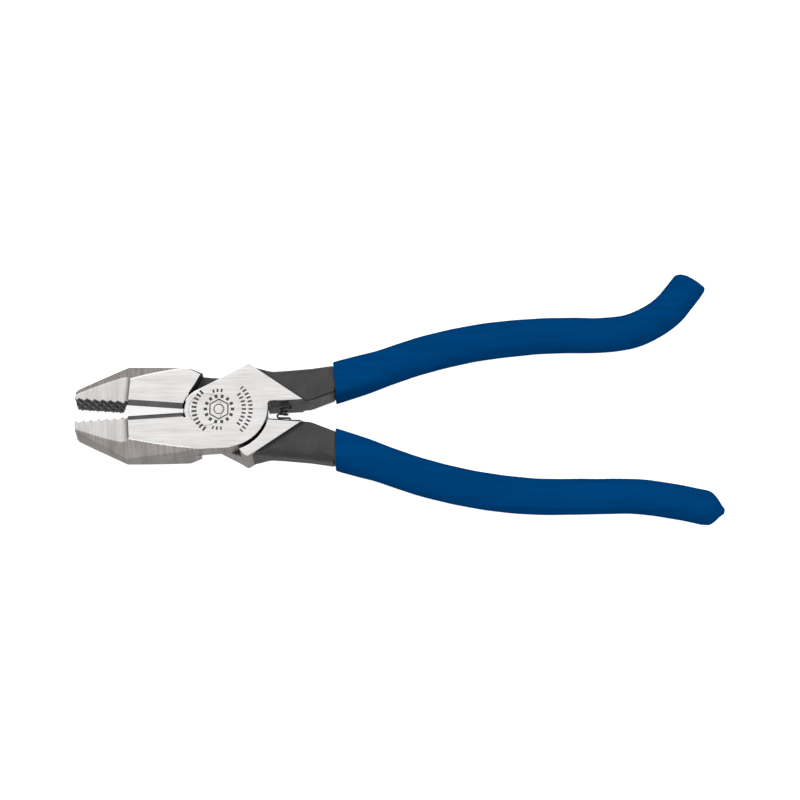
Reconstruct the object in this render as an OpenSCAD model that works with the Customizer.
// Ironworker's side-cutting pliers: two drop-forged halves lapped on a flush rivet, an opening
// spring in the crotch and dipped vinyl grips, one of them bent up into a hook at its end.
// Frame: +X runs along the tool towards the handles and the jaws point to -X, +Z comes out of the
// front face, and the origin is on the rivet's axis in the plane of the ground rear face.

/* [Head] */
// Thickness of the head over its two ground faces
head_t = 16; // [15:0.5:18]
// Width over the jaw flanks with the jaws closed
head_w = 31.4; // [30:0.2:33]
// Distance from the rivet's axis to the jaw tips
jaw_reach = 48.4; // [46:0.2:52]
// Distance from the rivet's axis to the step where the thinner nose begins
nose_step = 28.6; // [27:0.2:30]
// How far each nose face lies below the ground head face
nose_recess = 1.2; // [0.6:0.1:1.6]
// How far each handle's tang lies below the ground head face
tang_recess = 1.8; // [1.2:0.1:2.2]

/* [Rivet] */
// Radius of the rivet's shank
rivet_r = 4.6; // [4:0.1:5]
// Radius of the rivet's flush heads
rivet_head_r = 6.1; // [5.5:0.1:6.5]
// Depth of each flush head
rivet_head_t = 2.4; // [1.5:0.1:3]
// Running clearance of the rivet in the rear half
run_clear = 0.05; // [0.02:0.01:0.1]

/* [Teeth] */
// Distance between the grooves of the cross-cut grip, along the jaw
tooth_pitch = 2.87; // [2.4:0.01:3.4]
// Depth of those grooves
tooth_depth = 0.8; // [0.4:0.1:0.9]

/* [Grips] */
// Distance from the rivet's axis to the grips' front edges
grip_start = 48.1; // [47:0.1:52]
// Half the grip's width at its front edge
grip_start_half_w = 6.8; // [6.6:0.1:7]
// Half the grip's width along its middle
grip_half_w = 6.9; // [6.4:0.1:7.1]
// Half the grip's width towards its end
grip_end_half_w = 6.4; // [6:0.1:6.8]
// Half the grip's thickness at its front edge
grip_start_half_t = 7.3; // [7.2:0.1:7.6]
// Half the grip's thickness along its middle
grip_half_t = 6.2; // [6:0.1:6.6]

/* [Spring] */
// Diameter of the spring's wire
wire_d = 0.7; // [0.5:0.05:0.8]
// Mean radius of its coil
coil_r = 1.3; // [1.2:0.1:1.5]
// Number of turns
coil_turns = 2; // [1:1:2]

/* [Pose] */
// Angle between the jaws as the spring holds them
rest_open = 8; // [4:1:10]

/* [Hidden] */
$fn = 96;

steel = "#b9b7b3";
blued_steel = "#47474a";
vinyl_blue = "#00457f";

mid_z = head_t / 2;
past = 1;                    // how far a cut runs beyond the metal
lap_gap = 0.04;              // between the two lapped plates
flank_y = head_w / 2;
heel_y = flank_y - 0.2;      // the flank stands a little narrower by the throat
belly_y = 15;                // half the width over the lap plate's lower edge
disc_r = 8.3;                // round of the lap plate behind the throat
shoulder_r = 8.5;            // hollow of the jaw heel that runs round that disc
lap_c = [7.5, 0.7];          // centre of the lap plate's handle-side round
lap_r = 15.5;
crescent_r = 15.9;           // hollow of the handle root that faces that round
grip_plane = 0.6;            // half the gap between the toothed faces, closed
inner_y = 1.5;               // half the gap between the handles by the spring, closed
knife_bevel = [1.95, 1.4];   // width and depth of a knife's front bevel
knife_relief = 5.2;          // width of its rear bevel at the far face
edge_gap = 0.05;             // half the gap between the cutting edges, closed
edge_slope = 24.1;           // angle of the lap plate's upper edge
ear = [[16.6, 16.75], [17.5, 16.5], [18.5, 15.64]];
pad_tip = [35.8, 1.8];
tooth_angle = 20;            // of the grooves, off the tool's thickness
tooth_sides = [0.4, 2.1];    // width of a groove's steep side and of its long side
first_groove = 1.3;          // from the jaw's tip, at the front face
tang_round = 4.5;            // rounding of the tang's outer side
core_t = mid_z - tang_recess - 0.1;

spring_x = 28.8;
spring_top = 3;              // height of the coil's upper end over the tool's centre line
coil_pitch = 1.24;
coil_start = 30;             // where on its round the coil begins and where it ends
coil_end = 90;
run_in = 2.1;                // straight wire from the upper handle's hole to the coil
leg_x = 26.3;                // the leg drops here, then turns back over the lower handle's hole
leg_drop = 1.5;
leg_bend_r = 0.7;
end_bend_r = 0.5;
anchor_hole_r = 0.45;
anchor_hole_l = 2.4;         // depth of the holes that the wire's ends sit in

// Centrelines of the two handles, jaws closed; the first and last points only steer the curve.
root_keys = [[33, 6.4], [43, 8.3], [62, 12.8], [82, 18.2], [102, 21.5], [122, 22.5]];
hook_keys = concat(root_keys, [[136, 22.1], [148, 21.3], [159, 22], [167.7, 25.2], [174.2, 29.4],
                               [178.6, 34], [181.7, 37.5], [186, 42]]);
plain_keys = concat(root_keys, [[142, 21.2], [160, 19.9], [174, 20.8], [185, 22.3], [197, 24]]);
// How each grip closes beyond its last key: distance on, shift towards the outer side, scale.
hook_cap = [[1.3, -0.1, 0.97], [2.5, -0.6, 0.87], [3.4, -1.6, 0.7], [4.2, -3.4, 0.36], [4.6, -4.5, 0.13]];
plain_cap = [[1.8, 0.1, 0.96], [3.5, 0.4, 0.85], [5, 0.4, 0.64], [6.6, 0.1, 0.34], [7.9, 0, 0.15]];
core_stop = 3;               // the steel core ends this many path points before the grip's cap
// How each grip was dipped: its front edge's distance behind grip_start, and that edge's slant.
hook_dip = [0, 1];
plain_dip = [0.6, -4];

function arc(c, r, a0, a1, n) =
    [for (i = [0:n]) let (a = a0 + (a1 - a0) * i / n) c + r * [cos(a), sin(a)]];
function curve_point(a, b, c, d, t) =
    0.5 * (2 * b + (c - a) * t + (2 * a - 5 * b + 4 * c - d) * t ^ 2
           + (3 * b - a - 3 * c + d) * t ^ 3);
function curve(keys, n) =
    [for (i = [1:len(keys) - 3]) for (s = [0:n - 1])
        curve_point(keys[i - 1], keys[i], keys[i + 1], keys[i + 2], s / n),
     keys[len(keys) - 2]];
function heading(path, i) =
    let (d = path[min(i + 1, len(path) - 1)] - path[max(i - 1, 0)]) atan2(d.y, d.x);
function signed_power(v, p) = sign(v) * pow(abs(v), p);
function oval(a, b, power, n) =
    [for (i = [0:n - 1]) let (t = 360 * (i + 0.5) / n)
        [a * signed_power(cos(t), 2 / power), b * signed_power(sin(t), 2 / power)]];
function ease(t, a, b) = let (s = min(max(t, 0), 1)) a + (b - a) * s * s * (3 - 2 * s);
function unit(v) = v / norm(v);
// A section stood up across a handle at p; its first axis points to the handle's outer side.
function ring(p, angle, section) =
    [for (q = section) [p.x - q.x * sin(angle), p.y + q.x * cos(angle), mid_z + q.y]];

// A closed solid through rings of equal size.
module loft(rings) {
    n = len(rings[0]);
    last = len(rings) - 1;
    sides = [for (i = [0:last - 1]) for (j = [0:n - 1]) for (f = [
        [i * n + j, (i + 1) * n + (j + 1) % n, i * n + (j + 1) % n],
        [i * n + j, (i + 1) * n + j, (i + 1) * n + (j + 1) % n]]) f];
    ends = [[for (j = [0:n - 1]) j], [for (j = [n - 1:-1:0]) last * n + j]];
    polyhedron([for (r = rings) for (p = r) p], concat(sides, ends), convexity = 8);
}

// A large block whose lower face lies on the plane through p, q and r.
module block_over(p, q, r) {
    n = unit(cross(q - p, r - p));
    translate(p) rotate([0, acos(n.z), atan2(n.y, n.x)])
        translate([-60, -60, 0]) cube([120, 120, 40]);
}

// ---- one forging with the jaws closed: its jaw is below the axis, its lap plate at the front ----

// Front layer: lower jaw, lap plate, ear and ground pad in one outline.
module plate_outline() {
    along = [cos(edge_slope), sin(edge_slope)];
    across = [-along.y, along.x];
    polygon(concat(
        [[-nose_step, -edge_gap]],
        arc([0, 0], disc_r, 180.4, 90 + edge_slope, 16),
        [disc_r * across + 19.1 * along], ear, [pad_tip],
        arc([24.2, 0.6], 1.2, 90, 175, 5),
        arc(lap_c, lap_r, -1, -75.4, 24),
        [[7.6, -belly_y - 0.2], [1, -belly_y], [-10, -heel_y], [-nose_step - 1.4, -flank_y]]));
}

// Rear layer of the jaw, hollowed to run round the other half's disc.
module jaw_heel_outline() {
    difference() {
        polygon([[-nose_step, -edge_gap], [-6, -edge_gap], [-6.7, -5.9], [-4.66, -9.8], [-2.95, -13.5],
                 [-2.4, -15.6], [-10, -heel_y], [-nose_step - 1.4, -flank_y]]);
        circle(r = shoulder_r);
    }
}

// What faces the other half's plate is hollowed round it.
module crescent_hollow() {
    translate([lap_c.x, -lap_c.y]) circle(r = crescent_r);
}

// Rear layer of the handle root: ear and ground pad.
module crescent_pad_outline() {
    difference() {
        polygon([[13.4, 13.8], [20, 1.8], pad_tip, ear[2], ear[1], ear[0], [14.9, 15.7]]);
        crescent_hollow();
    }
}

// Black tang between the pad and the grip.
module tang_outline() {
    end_x = grip_start - 0.3;
    difference() {
        polygon([[20, 1.8], [35, inner_y], [38.6, inner_y], [end_x, 4.2], [end_x, 15.5], [40, 14.9], [30, 14.7],
                 [24, 14.75], ear[2] - [0, 0.3], [17, 14]]);
        crescent_hollow();
    }
}

// The tang, rounded along its outer side.
module tang() {
    height = head_t - 2 * tang_recess;
    intersection() {
        translate([0, 0, tang_recess]) linear_extrude(height) tang_outline();
        rotate([0, 0, 1.6]) hull() {
            for (z = [tang_recess + tang_round, head_t - tang_recess - tang_round])
                translate([10, 14.3 - tang_round, z]) rotate([0, 90, 0]) cylinder(r = tang_round, h = 50);
            translate([10, -5, tang_recess]) cube([50, 5, height]);
        }
    }
}

// Nose, thinner than the head, with its flank tapering to the tip.
module nose() {
    root_x = -nose_step + 0.5;
    translate([0, 0, nose_recess]) linear_extrude(head_t - 2 * nose_recess)
        polygon([[-jaw_reach, -grip_plane], [root_x, -grip_plane], [root_x, -flank_y],
                 [-nose_step - 1.4, -flank_y], [-jaw_reach + 0.9, -5.3], [-jaw_reach, -4.2]]);
}

// Grooves cut both ways across the gripping face, which cross on its edge at height edge_z.
module cross_cut(edge_z) {
    reach = 2 * head_t / cos(tooth_angle);
    spread = ceil(head_t * tan(tooth_angle) / tooth_pitch) * tooth_pitch;
    length = jaw_reach - nose_step;
    intersection() {
        union() for (side = [-1, 1])
            for (x = [-jaw_reach + first_groove - spread : tooth_pitch : -nose_step + spread])
                translate([x, -grip_plane, edge_z]) rotate([0, side * tooth_angle, 0])
                    linear_extrude(reach, center = true)
                        polygon([[-tooth_sides[0], 0.05], [tooth_sides[1], 0.05], [0, -tooth_depth]]);
        translate([-jaw_reach - past, -2 * tooth_depth - grip_plane, 0])
            cube([length + past - 0.2, 4 * tooth_depth, head_t]);
    }
}

// Both bevels of the knife along the jaw, with its edge just under the front face.
module knife_cut() {
    depth = knife_bevel.y;
    translate([-nose_step, 0, 0]) rotate([90, 0, 90]) linear_extrude(nose_step - disc_r + 0.3)
        polygon([[past, head_t + past],
                 [-edge_gap - knife_bevel.x * (depth + past) / depth, head_t + past],
                 [-edge_gap, head_t - depth],
                 [-edge_gap - knife_relief * (head_t - depth + past) / (head_t - depth), -past],
                 [past, -past]]);
}

// Flat ground along the flank of the head and of the nose, deepest at the nose step.
module flank_flats() {
    nose_z = head_t - nose_recess;
    intersection() {
        block_over([-nose_step, -9.6, head_t], [-nose_step, -flank_y, head_t - 4.2],
                   [-6, -heel_y, head_t]);
        translate([-nose_step, -30, mid_z]) cube([30, 30, head_t]);
    }
    intersection() {
        block_over([-nose_step, -12, nose_z], [-jaw_reach, -3.6, nose_z],
                   [-nose_step - 1.4, -flank_y, nose_z - 2.6]);
        translate([-nose_step - 30, -30, mid_z]) cube([30, 30, head_t]);
    }
}

// Forged slope on the corner of the jaw heel, from its face down to the lap.
module heel_corner() {
    intersection() {
        block_over([-6.4, -15.2, 0], [-2.9, -13.7, 0], [-2.4, -15.8, 6]);
        translate([-9, -20, -past]) cube([10, 10, mid_z + past]);
    }
}

// The section of the steel core, which thins as it runs on inside the grip.
function core_section(x) =
    let (t = (x - grip_start) / 60, w = ease(t, 4.9, 4.4), h = ease(t, core_t, 4.2), c = 1.4)
    [[w, -h + c], [w, h - c], [w - c, h], [-w + c, h], [-w, h - c], [-w, -h + c], [-w + c, -h],
     [w - c, -h]];

module tang_core(keys) {
    path = curve(keys, 4);
    loft([for (i = [0:len(path) - core_stop]) ring(path[i], heading(path, i), core_section(path[i].x))]);
}

module forged_half(keys, knife_in_front) {
    difference() {
        union() {
            nose();
            translate([0, 0, mid_z + lap_gap / 2]) linear_extrude(mid_z - lap_gap / 2) plate_outline();
            linear_extrude(mid_z + past) jaw_heel_outline();
            linear_extrude(mid_z + past) crescent_pad_outline();
            tang();
            tang_core(keys);
        }
        if (knife_in_front) knife_cut();
        else translate([0, 0, head_t]) mirror([0, 0, 1]) knife_cut();
        flank_flats();
        translate([0, 0, head_t]) mirror([0, 0, 1]) flank_flats();
        heel_corner();
        cross_cut(knife_in_front ? head_t - nose_recess : nose_recess);
    }
}

// ---- places of the two halves as the spring holds them ----

module front_place() {
    rotate([0, 0, rest_open / 2]) children();
}

module rear_place() {
    rotate([0, 0, -rest_open / 2]) translate([0, 0, head_t]) rotate([180, 0, 0]) children();
}

// Shank and two flush heads, grown by a clearance where they have to turn.
module rivet_solid(gap) {
    translate([0, 0, -gap]) cylinder(r = rivet_r + gap, h = head_t + 2 * gap);
    translate([0, 0, -gap]) cylinder(r = rivet_head_r + gap, h = rivet_head_t + 2 * gap);
    translate([0, 0, head_t - rivet_head_t - gap])
        cylinder(r = rivet_head_r + gap, h = rivet_head_t + 2 * gap);
}

// Hole along Y in a handle's inner side, for one end of the spring's wire.
module anchor_hole(at, side) {
    wall = side * (inner_y / cos(rest_open / 2) + at.x * tan(rest_open / 2));
    translate([at.x, wall, at.z]) rotate([-90 * side, 0, 0]) translate([0, 0, -past])
        cylinder(r = anchor_hole_r, h = anchor_hole_l + past);
}

module front_forging() {
    color(steel) difference() {
        front_place() forged_half(hook_keys, true);
        rivet_solid(0);
        anchor_hole(wire_in, 1);
    }
}

module rear_forging() {
    color(blued_steel) difference() {
        rear_place() forged_half(plain_keys, false);
        rivet_solid(run_clear);
        anchor_hole(wire_out, -1);
    }
}

module rivet() {
    color(steel) rivet_solid(0);
}

// ---- spring ----

// Corners of the wire where its ends turn into the handles.
function coil_point(angle) =
    [spring_x + coil_r * cos(angle), spring_top - coil_pitch * (angle - coil_start) / 360,
     mid_z + coil_r * sin(angle)];
run_way = [-sin(coil_start), 0, cos(coil_start)];
wire_in = coil_point(coil_start) - run_in * run_way;
leg_top = coil_point(360 * coil_turns + coil_end);
wire_out = [wire_in.x, leg_top.y - leg_drop, leg_top.z];

// One ring of the wire at p, running along t, with the side u.
function wire_ring(p, t, u) =
    let (v = cross(t, u)) [for (k = [0:7]) p + wire_d / 2 * (cos(45 * k) * u + sin(45 * k) * v)];
function coil_ring(angle) =
    let (t = unit([-sin(angle), -coil_pitch / (2 * PI * coil_r), cos(angle)]))
    wire_ring(coil_point(angle), t, unit(cross(t, [0, 1, 0])));
function leg_ring(p, h) = wire_ring([p.x, p.y, leg_top.z], [cos(h), sin(h), 0], [0, 0, -1]);

module opening_spring() {
    r = end_bend_r;
    end_l = anchor_hole_l - 0.4;
    drop_c = [leg_x + leg_bend_r, leg_top.y - leg_bend_r];
    turn_c = [leg_x + leg_bend_r, wire_out.y + leg_bend_r];
    down_c = [wire_out.x - r, wire_out.y - r];
    foot_y = -inner_y / cos(rest_open / 2) - wire_out.x * tan(rest_open / 2) - end_l;
    head_y = inner_y / cos(rest_open / 2) + wire_in.x * tan(rest_open / 2) + end_l;
    side = cross(run_way, [0, 1, 0]);
    color(blued_steel) loft(concat(
        [wire_ring([wire_in.x, head_y, wire_in.z], [0, -1, 0], side)],
        [for (a = [0:30:90]) wire_ring(wire_in + r * [0, 1 - sin(a), 0] + r * (1 - cos(a)) * run_way,
                                       sin(a) * run_way - [0, cos(a), 0], side)],
        [for (a = [coil_start:30:360 * coil_turns + coil_end]) coil_ring(a)],
        [for (a = [90:30:180]) leg_ring(arc(drop_c, leg_bend_r, a, a, 1)[0], a + 90)],
        [for (a = [180:30:270]) leg_ring(arc(turn_c, leg_bend_r, a, a, 1)[0], a + 90)],
        [for (a = [90:-30:0]) leg_ring(arc(down_c, r, a, a, 1)[0], a - 90)],
        [leg_ring([wire_out.x, foot_y], -90)]));
}

// ---- grips ----

function grip_section(x, sides) =
    let (t = (x - grip_start) / 22, e = (x - 90) / 80)
    oval(ease(e, ease(t, grip_start_half_w, grip_half_w), grip_end_half_w),
         ease(t, grip_start_half_t, grip_half_t), ease(t, 5, 2.4), sides);

module grip(keys, cap, dip) {
    path = curve(keys, 4);
    start = grip_start + dip[0];
    body = [for (i = [0:len(path) - 1]) if (path[i].x > start + 2) i];
    before = path[body[0] - 1];
    edge = before + (path[body[0]] - before) * (start - before.x) / (path[body[0]].x - before.x);
    last = len(path) - 1;
    turn = heading(path, last);
    on = [cos(turn), sin(turn)];
    outer = [-sin(turn), cos(turn)];
    difference() {
        loft(concat(
            [ring(edge, dip[1], grip_section(grip_start, 24) * 0.95),
             ring(edge + [0.5, 0.12], dip[1] + 1, grip_section(grip_start, 24))],
            [for (i = body) ring(path[i], heading(path, i), grip_section(path[i].x, 24))],
            [for (c = cap) ring(path[last] + c[0] * on + c[1] * outer, turn,
                                grip_section(path[last].x, 24) * c[2])]));
        tang_core(keys);
    }
}

module hooked_grip() {
    color(vinyl_blue) front_place() grip(hook_keys, hook_cap, hook_dip);
}

module plain_grip() {
    color(vinyl_blue) rear_place() grip(plain_keys, plain_cap, plain_dip);
}

front_forging();
rear_forging();
rivet();
opening_spring();
hooked_grip();
plain_grip();
